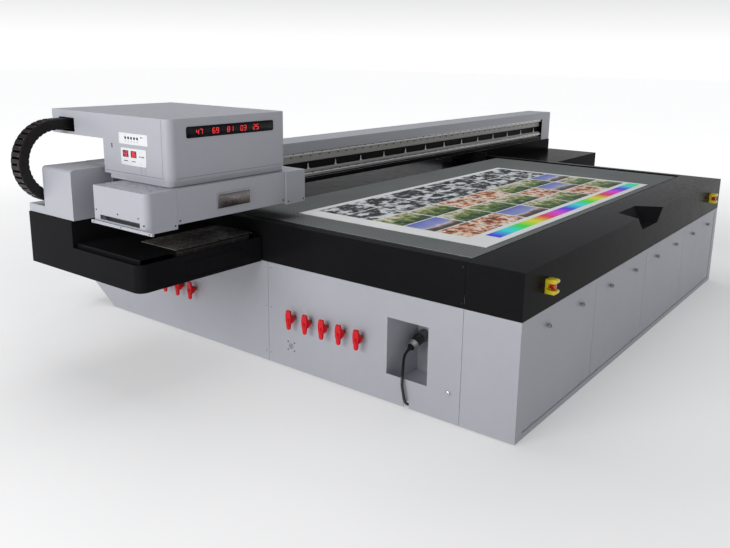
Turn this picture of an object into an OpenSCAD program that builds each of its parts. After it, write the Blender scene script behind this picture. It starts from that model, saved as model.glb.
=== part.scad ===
// Flatbed UV printer: a fixed base with a vacuum table, a bridge that travels front to back,
// and a print carriage that travels along the bridge. Width is X, depth is Y (front is -Y), height is Z.

/* [Base] */
// Width of the base across the front
base_w = 3420; // [3300:20:3500]
// Depth of the base from the front cover to the rear panel
base_d = 3300; // [3240:20:3400]
// Height of the black covers above the floor
cover_h = 818; // [816:1:824]
// Height of the light grey panels above the floor
panel_h = 591; // [580:1:600]
// Depth of the front cover
front_d = 293; // [280:1:300]
// Thickness of the cover sheet metal
sheet = 3; // [2:0.5:4]

/* [Table] */
// Height of the vacuum table surface above the floor
table_h = 812; // [808:1:813]
// Depth of the vacuum table, front to back
table_d = 1590; // [1500:10:1600]
// Length of the sheet lying on the table
board_l = 2460; // [1200:10:2900]
// Width of the sheet lying on the table
board_w = 1240; // [600:10:1300]

/* [Bridge] */
// Distance of the bridge front face from the front of the base, as parked
bridge_y = 2130; // [2120:5:2150]
// Height of the bridge underside above the floor
bridge_z = 850; // [848:1:852]
// Height of the bridge top above the floor
bridge_top = 1136; // [1130:1:1140]
// How far the left housing reaches past the base
left_reach = 820; // [815:1:830]
// How far the right housing reaches past the base
right_reach = 1580; // [1560:10:1700]

/* [Carriage] */
// Depth of the lower carriage housing
carriage_d = 413; // [405:1:420]
// Height of the upper carriage cover top above the floor
carriage_top = 1413; // [1405:1:1430]
// Number of print heads, in two rows
head_count = 8; // [4:2:8]

/* [Side fittings] */
// Distance between neighbouring valve handles
valve_pitch = 117; // [112:1:120]
// Height of the valve handles above the floor
valve_z = 308; // [296:1:316]
// Diameter of the mains cord
cord_d = 15; // [12:1:16]

/* [Hidden] */

light_grey = [0.70, 0.71, 0.74];
gloss_black = [0.06, 0.06, 0.065];
rail_grey = [0.80, 0.80, 0.78];
dark_grey = [0.25, 0.26, 0.27];
brass_tone = [0.75, 0.62, 0.35];

gap = 2;
panel_z = 4;
band_z = panel_h + gap;

// Frame tubes: four long tubes front to back, with cross tubes between them
tube = 80;
tube_x = [38, 1130, 2210, base_w - 118];
post_y = [60, 752, 2020, 2920];
near_post = 372;
low_z = 70;
high_z = 640;
rail_h = 21;
leg_x = 78;

// Table
table_x0 = 95;
table_y0 = 312;
table_t = 30;
plenum_z = high_z + tube + 1;

// Front doors
door_x0 = 70;
door_count = 4;
door_w = (base_w - 2 * door_x0) / door_count;
door_z0 = 36;
door_z1 = 567;
door_knob_z = 503;

// Emergency stops on the front cover
stop_x = [238, base_w - 288];
stop_z = 709;
stop_reach = 52;

// Valves on the left side: one row of five and one of three
front_valves = 5;
valve_y = [for (i = [0:7])
    i < front_valves ? 884 + i * valve_pitch : 2174 + (i - front_valves) * valve_pitch];

// Recess that the mains cord leaves from
recess_y0 = 480;
recess_y1 = 723;
recess_z0 = 154;
recess_z1 = 455;
recess_deep = 300;
inlet_y = 690;
inlet_z = 280;
// Notch in the foot of the panel where the cord passes in
notch_y = 597;

// Mains cord: from the plug in the recess, over its sill, down the panel and under the machine
cord_route = [[145, 690, 244], [116, 686, 235], [82, 673, 223], [48, 653, 207], [16, 634, 187],
    [-8, 620, 160], [-18, 613, 128], [-19, 607, 100], [-19, 601, 73], [-17, 599, 56], [-10, 598, 41],
    [0, 597, 28], [13, 596, 18], [28, 595, 11], [45, 595, 9], [80, 595, 9], [118, 595, 9]];
coil_x = 180;
coil_y = 480;
coil_r = 100;
lead_out = [[272, 574, 12], [310, 563, 15], [350, 552, 24], [380, 547, 30]];

// Bridge
beam_x0 = -555;
beam_x1 = base_w + 1500;
beam_y0 = bridge_y + 45;
beam_y1 = bridge_y + 240;
bridge_rear = bridge_y + 250;
bridge_right = base_w + 1530;
tray_y0 = 1590;
tray_z1 = 731;
tower_z0 = 874;
tower_x1 = -563;
ledge_y1 = 2540;
ledge_z = 917;
side_gap = 12;

// Capping station in plan
cap_x0 = -562;
cap_x1 = -36;
cap_y0 = 1632;
cap_y1 = 1917;

// Carriage
box_x0 = -802;
box_x1 = 282;
box_y0 = 1538;
box_y1 = box_y0 + carriage_d;
box_z0 = 888;
box_z1 = 1082;
head_x0 = -620;
head_x1 = 129;
cover_x0 = -632;
cover_x1 = 179;
cover_y0 = 1571;
step_y = 2098;
arm_y1 = 2561;
arm_z = 1285;
lip_z = 1110;

// Cable chain beside the bridge
chain_y0 = 2398;
chain_w = 88;
chain_h = 57;
chain_low = 922;
chain_top = 1368;
chain_r = (chain_top - chain_low) / 2;
chain_cx = chain_r - 930;
chain_cz = chain_low + chain_r;
chain_anchor = 2060;
chain_hole_x = cover_x0 - 6;

// Middle of the whole machine in plan, where its origin stands
mid_x = (base_w + right_reach - 930) / 2;
mid_y = (base_d - stop_reach) / 2;

module place() translate([-mid_x, -mid_y, 0]) children();

// A box given by its two corners
module block(a, b) translate(a) cube(b - a);

// A rod along X, Y or Z
module rod_x(a, b, y, z, r)
    translate([a, y, z]) rotate([0, 90, 0]) cylinder(h = b - a, r = r, $fn = 48);
module rod_y(a, b, x, z, r)
    translate([x, a, z]) rotate([-90, 0, 0]) cylinder(h = b - a, r = r, $fn = 48);
module rod_z(a, b, x, y, r) translate([x, y, a]) cylinder(h = b - a, r = r, $fn = 48);

// A rectangle in plan whose two front corners are rounded
module front_rounded(a, b, r) {
    translate([a[0], a[1] + r]) square([b[0] - a[0], b[1] - a[1] - r]);
    translate([a[0] + r, a[1]]) square([b[0] - a[0] - 2 * r, 2 * r]);
    for (x = [a[0] + r, b[0] - r]) translate([x, a[1] + r]) circle(r, $fn = 64);
}

// A rectangle in plan with only its front left corner rounded
module corner_rounded(a, b, r) {
    translate([a[0], a[1] + r]) square([b[0] - a[0], b[1] - a[1] - r]);
    translate([a[0] + r, a[1]]) square([b[0] - a[0] - r, 2 * r]);
    translate([a[0] + r, a[1] + r]) circle(r, $fn = 64);
}

// A closed sheet-metal box, open below
module box_cover(a, b, t) {
    difference() {
        block(a, b);
        block([a[0] + t, a[1] + t, a[2] - 1], [b[0] - t, b[1] - t, b[2] - t]);
    }
}

// ---- Base ----

module base_frame() color(dark_grey) place() {
    for (x = tube_x) {
        block([x, x == tube_x[0] ? post_y[1] : post_y[0], low_z], [x + tube, 3000, low_z + tube]);
        block([x, post_y[0], high_z], [x + tube, 3180, high_z + tube]);
        for (y = post_y)
            block([x + 1, y + 1, low_z + tube + 1], [x + tube - 1, y + tube - 1, high_z - 1]);
    }
    // The left lower tube stops on both sides of the cord recess
    block([tube_x[0], post_y[0], low_z], [tube_x[0] + tube, near_post + tube, low_z + tube]);
    block([tube_x[0] + 1, near_post + 1, low_z + tube + 1],
        [tube_x[0] + tube - 1, near_post + tube - 1, high_z - 1]);
    for (i = [0:2]) {
        a = tube_x[i] + tube + 1;
        b = tube_x[i + 1] - 1;
        for (y = [post_y[0], post_y[3]]) block([a, y, low_z], [b, y + tube, low_z + tube]);
        for (y = post_y) block([a, y, high_z], [b, y + tube, high_z + tube]);
    }
}

module levelling_feet() color("dimgray") place() {
    for (x = tube_x, y = [post_y[0] + 40, post_y[3] + 40]) {
        rod_z(0, 14, x + tube / 2, y, 50);
        rod_z(14, 26, x + tube / 2, y, 26);
        rod_z(26, low_z, x + tube / 2, y, 12);
        rod_z(48, 62, x + tube / 2, y, 20);
    }
}

module front_surround() color(light_grey) place() {
    deep = 18;
    block([door_x0 + 1, 0, door_z1 + gap], [base_w - door_x0 - 1, deep, panel_h]);
    block([door_x0 + 1, 0, panel_z], [base_w - door_x0 - 1, deep, door_z0 - gap]);
    for (s = [0, 1]) translate([s * base_w, 0, 0]) mirror([s, 0, 0]) {
        block([0, 0, panel_z], [door_x0, deep, panel_h]);
        block([0, 0, panel_z], [sheet, front_d - 1, panel_h]);
    }
}

// Side view of the rear side panel, cut back at its lower rear corner
module rear_outline(y0) {
    polygon([[y0, panel_z], [3036, panel_z], [base_d, 178], [base_d, panel_h], [y0, panel_h]]);
}

module side_plate_rear(x) {
    translate([x, 0, 0]) rotate([90, 0, 90]) linear_extrude(sheet) rear_outline(1551);
}

module left_side_panels() color(light_grey) place() {
    difference() {
        block([0, front_d + 1, panel_z], [sheet, 1549, panel_h]);
        block([-1, recess_y0, recess_z0], [sheet + 1, recess_y1, recess_z1]);
        block([-1, notch_y - 16, panel_z - 1], [sheet + 1, notch_y + 16, 42]);
        for (i = [0:front_valves - 1]) rod_x(-1, sheet + 1, valve_y[i], valve_z, 13);
    }
    difference() {
        side_plate_rear(0);
        for (i = [front_valves:7]) rod_x(-1, sheet + 1, valve_y[i], valve_z, 13);
    }
}

module right_side_panels() color(light_grey) place() {
    block([base_w - sheet, front_d + 1, panel_z], [base_w, 1549, panel_h]);
    side_plate_rear(base_w - sheet);
}

module rear_panel() color(light_grey) place() {
    block([sheet + 1, base_d - sheet, 180], [base_w - sheet - 1, base_d, cover_h - sheet - 1]);
    block([sheet + 1, base_d - 40, cover_h - sheet], [base_w - sheet - 1, base_d, cover_h]);
}

// Round-headed screws, a small round vent with four screws and the key lock on the left side
module side_fittings() color("silver") place() {
    vent_y = 1377;
    vent_z = 133;
    for (y = [-24, 24], z = [-24, 24]) rod_x(-2, 0, vent_y + y, vent_z + z, 4);
    rod_x(-2, 0, vent_y, vent_z, 16);
    rod_x(-9, 0, 359, 153, 13);
    for (z = [60, 330, 560], y = [1530, 1570]) rod_x(-3, 0, y, z, 5);
    for (z = [616, 790]) rod_x(-3, 0, front_d + 13, z, 5);
}

module cord_recess() color(light_grey) place() {
    side = 12;
    low = 76;
    difference() {
        block([sheet + 0.5, recess_y0 - side, low], [recess_deep, recess_y1 + side, recess_z1 + side]);
        block([0, recess_y0 - side + 2, low + 2],
            [recess_deep - 2, recess_y1 + side - 2, recess_z1 + side - 2]);
        rod_x(recess_deep - 10, recess_deep + 10, inlet_y, inlet_z, 21);
    }
}

module power_inlet() color("gray") place() {
    rod_x(recess_deep - 2 - 20, recess_deep - 2, inlet_y, inlet_z, 34);
    rod_x(recess_deep - 2, recess_deep + 40, inlet_y, inlet_z, 20);
    rod_x(recess_deep - 44, recess_deep - 22, inlet_y, inlet_z, 30);
}

// The cord's connector, pushed onto the inlet and drooping a little
module cord_plug() color("gray") place() {
    translate([recess_deep - 45, inlet_y, inlet_z]) rotate([0, -90 - 18, 0]) {
        translate([0, 0, 10]) cylinder(h = 48, r = 30, $fn = 48);
        translate([0, 0, 58]) cylinder(h = 30, r = 23, $fn = 48);
        translate([0, 0, 88]) cylinder(h = 27, r = 17, $fn = 48);
    }
}

function unit(v) = v / norm(v);
function tangent(p, i) = unit(p[min(i + 1, len(p) - 1)] - p[max(i - 1, 0)]);
// Catmull-Rom point between p[i] and p[i + 1]
function curve_point(p, i, t) =
    let (a = p[max(i - 1, 0)], b = p[i], c = p[i + 1], d = p[min(i + 2, len(p) - 1)])
    0.5 * (2 * b + (c - a) * t + (2 * a - 5 * b + 4 * c - d) * t * t + (3 * b - a - 3 * c + d) * t * t * t);
function smooth(p, n) = [for (i = [0:len(p) - 2], k = [0:n - 1]) curve_point(p, i, k / n), p[len(p) - 1]];

// A round tube along a route, as one mesh
module tube_along(route, r, sides) {
    count = len(route);
    rings = [for (i = [0:count - 1])
        let (t = tangent(route, i), up = abs(t[2]) > 0.8 ? [0, 1, 0] : [0, 0, 1])
        let (u = unit(cross(t, up)), v = cross(u, t))
        for (k = [0:sides - 1]) route[i] + r * (cos(360 * k / sides) * u + sin(360 * k / sides) * v)];
    walls = [for (i = [0:count - 2], k = [0:sides - 1])
        let (a = i * sides + k, b = i * sides + (k + 1) % sides) [a, b, b + sides, a + sides]];
    caps = [[for (k = [sides - 1:-1:0]) k], [for (k = [0:sides - 1]) (count - 1) * sides + k]];
    polyhedron(points = rings, faces = concat(walls, caps), convexity = 6);
}

module mains_cord() color("black") place() {
    tube_along(smooth(cord_route, 2), cord_d / 2, 10);
    tube_along(smooth(lead_out, 2), cord_d / 2, 10);
}

// The outer shape of the coiled part of the cord
module cord_coil() color("black") place() {
    translate([coil_x, coil_y, 0]) rotate_extrude($fn = 64)
        translate([coil_r - 1.5 * cord_d, 1]) square([3 * cord_d, 2 * cord_d + 1]);
}

module wall_plug() color("firebrick") place() {
    rod_x(380, 412, 547, 30, 16);
    rod_x(412, 480, 547, 30, 27);
    rod_x(480, 520, 547, 30, 30);
}

module valve_manifold() color(brass_tone) place() {
    for (y = valve_y) {
        rod_x(-14, 24, y, valve_z, 11);
        rod_x(24, 60, y, valve_z, 22);
        rod_x(60, 120, y, valve_z, 14);
        rod_z(valve_z, 352, 90, y, 10);
    }
    rod_y(valve_y[0] - 40, valve_y[4] + 40, 90, 372, 24);
    rod_y(valve_y[5] - 40, valve_y[7] + 40, 90, 372, 24);
}

// Turning lever of one ball valve, with its hub towards the panel
module valve_handle(y) color("red") place() {
    front = -54;
    translate([front, y, valve_z]) rotate([90, 0, 90]) linear_extrude(14) {
        polygon([[-14, 54], [14, 54], [20, 16], [17, -16], [12, -57], [-12, -57], [-17, -16], [-20, 16]]);
    }
    rod_x(front + 14, front + 34, y, valve_z, 21);
    difference() {
        rod_x(front + 34, -9, y, valve_z, 15);
        rod_x(-15, -8, y, valve_z, 11.4);
    }
}

module table_top() color(dark_grey) place() {
    block([table_x0, table_y0, table_h - table_t], [base_w - table_x0, table_y0 + table_d, table_h]);
}

module table_plenum() color("slategray") place() {
    y1 = table_y0 + table_d - 14;
    block([130, 330, plenum_z], [base_w - 130, y1, plenum_z + 5]);
    for (y = [330, y1 - 12]) block([130, y, plenum_z + 6], [base_w - 130, y + 12, table_h - table_t]);
    for (i = [0:6]) {
        x = 130 + i * (base_w - 260 - 12) / 6;
        block([x, 343, plenum_z + 6], [x + 12, y1 - 13, table_h - table_t]);
    }
}

module vacuum_pumps() color("steelblue") place() {
    for (i = [0, 2]) {
        x = (tube_x[i] + tube_x[i + 1] + tube) / 2;
        block([tube_x[i] + 10, 1380, low_z + tube],
            [tube_x[i + 1] + tube - 10, 1660, low_z + tube + 12]);
        block([x - 60, 1420, low_z + tube + 13], [x + 60, 1620, 174]);
        rod_y(1410, 1560, x, 340, 165);
        rod_y(1561, 1720, x, 340, 90);
        rod_y(1380, 1409, x, 340, 60);
        rod_z(506, 600, x, 1485, 38);
    }
}

// Plan of the hand notch in the front cover at a given height share: 0 at its floor, 1 at the top
notch_z = 736;
module notch_slice(s, grow) {
    half_front = 140 + 95 * s + grow;
    half_rear = 110 + 35 * s + grow;
    deep = 60 + 90 * s + grow;
    mid = base_w / 2;
    polygon([[mid - half_front, -1], [mid + half_front, -1],
        [mid + half_rear, deep], [mid - half_rear, deep]]);
}

module notch_solid(grow) {
    hull() {
        translate([0, 0, notch_z - grow]) linear_extrude(0.1) notch_slice(0, grow);
        translate([0, 0, cover_h + 0.2]) linear_extrude(0.1) notch_slice(1, grow);
    }
}

module front_cover() color(gloss_black) place() {
    difference() {
        block([0, 0, band_z], [base_w, front_d - 1, cover_h]);
        difference() {
            block([sheet, sheet, band_z - 1], [base_w - sheet, front_d - 1 - sheet, cover_h - sheet]);
            intersection() {
                notch_solid(sheet);
                block([0, 0, band_z], [base_w, front_d, cover_h]);
            }
        }
        block([sheet, 200, band_z - 1], [base_w - sheet, front_d, 760]);
        notch_solid(0);
    }
}

module side_bands() color(gloss_black) place() {
    for (s = [0, 1]) translate([s * base_w, 0, 0]) mirror([s, 0, 0]) {
        block([0, front_d + 1, band_z], [sheet, base_d - sheet - 1, cover_h]);
        block([sheet, front_d + 1, cover_h - sheet], [58, base_d - 41, cover_h]);
    }
}

// Lower deck behind the table, under the parked bridge
module rear_deck() color(gloss_black) place() {
    block([table_x0 + 20, table_y0 + table_d + 8, 742], [base_w - table_x0 - 20, base_d - sheet - 4, 745]);
    for (x = [tube_x[1], tube_x[2]], y = [2020, 2920])
        block([x, y, high_z + tube], [x + tube, y + tube, 742]);
}

module y_rails() color("silver") place() {
    for (x = [leg_x, base_w - leg_x])
        block([x - 10, 330, high_z + tube], [x + 10, 3170, high_z + tube + rail_h]);
}

module electric_cabinet() color("lightgray") place() {
    a = [1240, 170, low_z + tube + 10];
    b = [2180, 620, 620];
    for (y = [200, 560])
        block([tube_x[1] + 10, y, low_z + tube], [tube_x[2] + 70, y + 40, low_z + tube + 10]);
    difference() {
        block(a, b);
        block([a[0] + 3, a[1] - 1, a[2] + 3], [b[0] - 3, b[1] - 3, b[2] - 3]);
    }
    for (k = [0:2]) block([a[0] + 60, b[1] - 60, 200 + k * 140], [b[0] - 60, b[1] - 4, 290 + k * 140]);
}

module printed_board() color("white") place() {
    block([308, 356, table_h], [308 + board_l, 356 + board_w, table_h + 3]);
}

// Guard over and under each emergency stop: open at the front and at the sides
module stop_guards() color("gold") place() {
    for (x = stop_x) {
        difference() {
            block([x - 24, -stop_reach, stop_z - 35], [x + 24, 0, stop_z + 35]);
            block([x - 25, -stop_reach - 1, stop_z - 15.5], [x + 25, -12, stop_z + 15.5]);
            rod_y(-13, 1, x, stop_z, 11.5);
        }
    }
}

module stop_button(x) color("red") place() {
    rod_y(8 - stop_reach, -25, x, stop_z, 14.5);
    rod_y(-25, -8.5, x, stop_z, 11);
}

module front_door(i) color(light_grey) place() {
    a = door_x0 + i * door_w + 1.5;
    b = a + door_w - 3;
    block([a, 2, door_z0], [b, 18, door_z1]);
    // Hinge knuckles on the line that the door turns about
    for (x = [a + 90, b - 150]) rod_x(x, x + 60, 4, door_z0 + 4, 3.9);
    for (x = [(a + b) / 2 - 202, (a + b) / 2 + 202]) {
        rod_y(-3, 2, x, door_knob_z, 8);
        rod_y(-8, -3, x, door_knob_z, 6);
        rod_y(-18, -8, x, door_knob_z, 12);
    }
}

// ---- Bridge ----

module bridge_beam() color("darkgray") place() {
    difference() {
        block([beam_x0, beam_y0, bridge_z + 6], [beam_x1, beam_y1, bridge_top - 6]);
        block([beam_x0 - 1, beam_y0 + 12, bridge_z + 18], [beam_x1 + 1, beam_y1 - 12, bridge_top - 18]);
    }
}

// Grey cover over the top, the rear, the right end and the front edges of the beam
module bridge_cover() color(light_grey) place() {
    x0 = tower_x1 + 1;
    block([x0, bridge_y, bridge_top - sheet], [bridge_right, bridge_rear, bridge_top]);
    block([x0, bridge_y, 1068], [bridge_right, bridge_y + sheet, bridge_top - sheet]);
    block([x0, bridge_y, bridge_z], [bridge_right, bridge_y + sheet, 884]);
    block([x0, bridge_y + sheet, bridge_z], [bridge_right, bridge_rear, bridge_z + sheet]);
    block([x0, bridge_rear - sheet, bridge_z + sheet], [bridge_right, bridge_rear, bridge_top - sheet]);
    block([base_w + 1340, bridge_y, 884], [bridge_right, bridge_y + sheet, 1068]);
    block([bridge_right - sheet, bridge_y + sheet, bridge_z + sheet],
        [bridge_right, bridge_rear - sheet, bridge_top - sheet]);
}

// Grey end cover at the left, with a low shelf behind it for the cable chain
module end_tower() color(light_grey) place() {
    r = 18;
    difference() {
        union() {
            block([-left_reach + 4, bridge_y - 9, tower_z0], [tower_x1, 2385, 1134 - r]);
            block([-left_reach + 4 + r, bridge_y - 9, 1134 - 2 * r], [tower_x1, 2385, 1134]);
            rod_y(bridge_y - 9, 2385, -left_reach + 4 + r, 1134 - r, r);
        }
        block([-left_reach + 8, bridge_y - 5, tower_z0 - 1], [tower_x1 - 4, 2381, 1128 - r]);
    }
    block([-left_reach + 4, 2386, tower_z0], [tower_x1, ledge_y1, ledge_z]);
}

module x_rails() color(rail_grey) place() {
    for (z = [1046, 905]) block([-540, bridge_y + 10, z], [base_w + 1320, bridge_y + 32, z + 20]);
    for (z = [[996, 1068], [885, 937]])
        block([-550, bridge_y + 32.5, z[0]], [base_w + 1335, beam_y0 - 0.5, z[1]]);
    for (i = [0:17]) block([-480 + i * 300, bridge_y + 31, 958], [-464 + i * 300, beam_y0 - 0.5, 992]);
}

module left_tray() color(gloss_black) place() {
    x0 = -left_reach;
    x1 = -side_gap;
    r = 45;
    wall = 12;
    difference() {
        translate([0, 0, panel_h]) linear_extrude(tray_z1 - panel_h)
            corner_rounded([x0, tray_y0], [x1, bridge_y + 9], r);
        translate([0, 0, panel_h + 9]) linear_extrude(200)
            corner_rounded([x0 + wall, tray_y0 + wall], [x1 - wall, bridge_y + 10], r - wall);
        block([-541, tray_y0 - 1, 609], [-157, tray_y0 + wall + 1, 694]);
    }
    difference() {
        union() {
            block([x0, bridge_y + 9, panel_h], [x1, 2545, bridge_z - 4]);
            block([x0, bridge_y + 9, panel_h], [tower_x1, 2545, tower_z0 - 3]);
        }
        block([x0 + 4, bridge_y + 13, panel_h - 1], [x1 - 4, 2541, bridge_z - 8]);
    }
    // Raised deck round the capping station, standing on its two side flanges
    deck = 752;
    difference() {
        block([x0 + 26, tray_y0 + 26, panel_h + 10], [x1 - 13, bridge_y + 8, deck]);
        block([x0 + 29, tray_y0 + 25, panel_h + 9], [x1 - 16, bridge_y + 9, deck - 3]);
        block([cap_x0 - 4, cap_y0 - 4, deck - 4], [cap_x1 + 4, cap_y1 + 4, deck + 1]);
    }
}

module right_tray() color(gloss_black) place() {
    x0 = base_w + side_gap;
    x1 = base_w + right_reach;
    box_cover([x0, 1605, panel_h], [x1, bridge_y + 2, 735], 4);
    box_cover([x0, bridge_y + 3, panel_h], [x1 - 30, 2545, bridge_z - 4], 4);
}

// Plates that pass down beside the table, each with two rail blocks
module bridge_legs() color("silver") place() {
    for (s = [0, 1]) translate([s * base_w, 0, 0]) mirror([s, 0, 0]) {
        block([leg_x - 10, 2020, high_z + tube + 46], [leg_x + 10, 2490, bridge_z]);
        for (y = [2030, 2360]) {
            difference() {
                block([leg_x - 30, y, high_z + tube + 6], [leg_x + 30, y + 120, high_z + tube + 46]);
                block([leg_x - 10.5, y - 1, high_z + tube + 5], [leg_x + 10.5, y + 121, high_z + tube + 22]);
            }
        }
    }
}

module chain_trough() color(light_grey) place() {
    x0 = tower_x1 + 1;
    block([x0, bridge_rear + 1, ledge_z - 4], [chain_anchor + 120, 2496, ledge_z]);
    block([x0, 2496, ledge_z - 4], [chain_anchor + 120, 2499, ledge_z + 66]);
}

module chain_lower() color("black") place() {
    block([chain_cx + 1, chain_y0, chain_low], [chain_anchor, chain_y0 + chain_w, chain_low + chain_h]);
}

module chain_upper() color("black") place() {
    block([chain_hole_x + 2, chain_y0, chain_top - chain_h],
        [chain_hole_x + 152, chain_y0 + chain_w, chain_top]);
}

// The half circle at the end of the loop, with a straight stretch above it
module chain_bend() color("black") place() {
    translate([chain_cx, chain_y0 + chain_w, chain_cz]) rotate([90, 0, 0]) linear_extrude(chain_w)
        difference() {
            circle(chain_r, $fn = 96);
            circle(chain_r - chain_h, $fn = 96);
            translate([0, -chain_r - 1]) square([chain_r + 1, 2 * chain_r + 2]);
        }
    block([chain_cx, chain_y0, chain_top - chain_h], [chain_hole_x, chain_y0 + chain_w, chain_top]);
}

module service_flap() color(gloss_black) place() {
    block([-539, tray_y0 + 0.5, 611], [-159, tray_y0 + 4, 692]);
    block([-380, tray_y0 + 4, 680], [-320, tray_y0 + 10, 690]);
    for (x = [-520, -220]) rod_x(x, x + 50, tray_y0, 611, 1.8);
}

// Lifting carrier of the capping station with its two flush plates
module capping_lift() color([0.35, 0.31, 0.29]) place() {
    z1 = 755;
    seam = -268;
    block([cap_x0, cap_y0, z1 - 9], [seam - 2, cap_y1, z1]);
    block([seam + 2, cap_y0, z1 - 9], [cap_x1, cap_y1, z1]);
    block([cap_x0 + 12, cap_y0 + 13, z1 - 39], [cap_x1 - 14, cap_y1 - 12, z1 - 10]);
    for (x = [-510, -100], y = [1700, 1850]) rod_z(610, z1 - 40, x, y, 18);
}

// ---- Carriage ----

module carriage_plate() color("silver") place() {
    block([-600, 2080, box_z0 + 10], [160, 2094, 1274]);
    block([-604, 1600, box_z1 + 4], [150, 2080, box_z1 + 14]);
    for (x = [-560, 40], z = [1056, 915]) {
        difference() {
            block([x, 2095, z - 28], [x + 80, bridge_y + 28, z + 28]);
            block([x - 1, bridge_y + 9.5, z - 10.5], [x + 81, bridge_y + 40, z + 10.5]);
            block([x - 1, bridge_y - 1, 1066.5], [x + 81, bridge_y + 40, 1200]);
        }
    }
}

// End housings of the carriage with the UV lamps
module lamp_housings() color(light_grey) place() {
    r = 34;
    difference() {
        translate([0, 0, box_z0]) linear_extrude(box_z1 - box_z0)
            corner_rounded([box_x0, box_y0], [head_x0 - 1, box_y1], r);
        translate([0, 0, box_z0 - 1]) linear_extrude(box_z1 - box_z0 - sheet + 1)
            corner_rounded([box_x0 + sheet, box_y0 + sheet],
                [head_x0 - 1 - sheet, box_y1 - sheet], r - sheet);
        block([box_x0 - 1, 1590, 915], [box_x0 + sheet + 1, 1905, 938]);
    }
    box_cover([head_x1 + 1, box_y0 - 12, box_z0 + 12], [box_x1, box_y1, box_z1 + 2], sheet);
    block([box_x0 - 14, 1482, 893], [box_x0 - 2, 1962, 908]);
    for (y = [1620, 1880]) block([box_x0 - 2, y, 893], [box_x0, y + 40, 908]);
}

module head_housing() color(light_grey) place() {
    box_cover([head_x0, box_y0, box_z0 + 21], [head_x1, box_y1, box_z1], sheet);
    block([-370, box_y0 - 3, 948], [-140, box_y0, 1026]);
}

// Large upper cover with a rounded front, a lip at its foot and an arm over the bridge
module upper_cover() color(light_grey) place() {
    r = 42;
    difference() {
        union() {
            translate([0, 0, lip_z]) linear_extrude(carriage_top - lip_z)
                front_rounded([cover_x0, cover_y0], [cover_x1, step_y], r);
            block([cover_x0, step_y - 1, arm_z], [cover_x1, arm_y1, carriage_top]);
        }
        translate([0, 0, lip_z - 1]) linear_extrude(carriage_top - lip_z - 4 + 1)
            front_rounded([cover_x0 + 4, cover_y0 + 4], [cover_x1 - 4, step_y - 4], r - 4);
        block([cover_x0 + 4, step_y - 60, arm_z + 4], [cover_x1 - 4, arm_y1 - 4, carriage_top - 4]);
        block([cover_x0 - 1, 2352, 1300], [cover_x0 + 5, 2496, 1374]);
    }
    translate([0, 0, box_z1 + 3]) linear_extrude(lip_z - box_z1 - 3) difference() {
        front_rounded([cover_x0 + 8, cover_y0 + 8], [cover_x1 - 8, step_y - 20], r - 8);
        front_rounded([cover_x0 + 14, cover_y0 + 14], [cover_x1 - 14, step_y - 26], r - 14);
        translate([cover_x0, step_y - 40]) square([cover_x1 - cover_x0, 40]);
    }
}

module front_display() color("black") place() {
    block([-523, cover_y0 - 2, 1316], [75, cover_y0, 1372]);
}

module side_controls() color("white") place() {
    block([cover_x0 - 2, 1728, 1272], [cover_x0, 1958, 1328]);
    block([cover_x0 - 2, 1744, 1167], [cover_x0, 1947, 1253]);
    for (k = [0:4]) rod_x(cover_x0 - 5, cover_x0 - 2, 1900 - k * 27, 1301, 5);
}

module uv_lamps() color("dimgray") place() {
    for (x = [-770, 150]) {
        block([x, 1590, 905], [x + 110, 1905, 1060]);
        block([x + 15, 1610, 901], [x + 95, 1885, 905]);
    }
}

module ink_tanks() color("navajowhite") place() {
    for (i = [0:3], j = [0:1])
        block([-560 + i * 150, 1640 + j * 180, box_z1 + 15], [-470 + i * 150, 1760 + j * 180, 1270]);
}

module print_heads() color([0.2, 0.2, 0.22]) place() {
    block([-585, 1600, 960], [95, 1900, 972]);
    for (k = [0:head_count - 1]) {
        x = -560 + (k % (head_count / 2)) * 160;
        y = k < head_count / 2 ? 1630 : 1770;
        block([x, y, 884], [x + 110, y + 90, 959]);
    }
}

base_frame();
levelling_feet();
front_surround();
left_side_panels();
right_side_panels();
rear_panel();
side_fittings();
cord_recess();
power_inlet();
cord_plug();
mains_cord();
cord_coil();
wall_plug();
valve_manifold();
table_top();
table_plenum();
vacuum_pumps();
front_cover();
side_bands();
rear_deck();
y_rails();
electric_cabinet();
printed_board();
stop_guards();
bridge_beam();
bridge_cover();
end_tower();
x_rails();
left_tray();
right_tray();
bridge_legs();
chain_trough();
chain_lower();
service_flap();
capping_lift();
carriage_plate();
lamp_housings();
head_housing();
upper_cover();
front_display();
side_controls();
uv_lamps();
ink_tanks();
chain_upper();
print_heads();
chain_bend();
stop_button(stop_x[0]);  // stop_button_1
stop_button(stop_x[1]);  // stop_button_2
front_door(0);  // front_door_1
front_door(1);  // front_door_2
front_door(2);  // front_door_3
front_door(3);  // front_door_4
valve_handle(valve_y[0]);  // valve_handle_1
valve_handle(valve_y[1]);  // valve_handle_2
valve_handle(valve_y[2]);  // valve_handle_3
valve_handle(valve_y[3]);  // valve_handle_4
valve_handle(valve_y[4]);  // valve_handle_5
valve_handle(valve_y[5]);  // valve_handle_6
valve_handle(valve_y[6]);  // valve_handle_7
valve_handle(valve_y[7]);  // valve_handle_8
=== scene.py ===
"""Looks of the flatbed UV printer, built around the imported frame. Sizes are in millimetres of the
machine, measured from the front left foot of its base, and turned into metres of the frame by at()."""
import math

import bmesh
import bpy
from mathutils import Matrix, Vector


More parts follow.
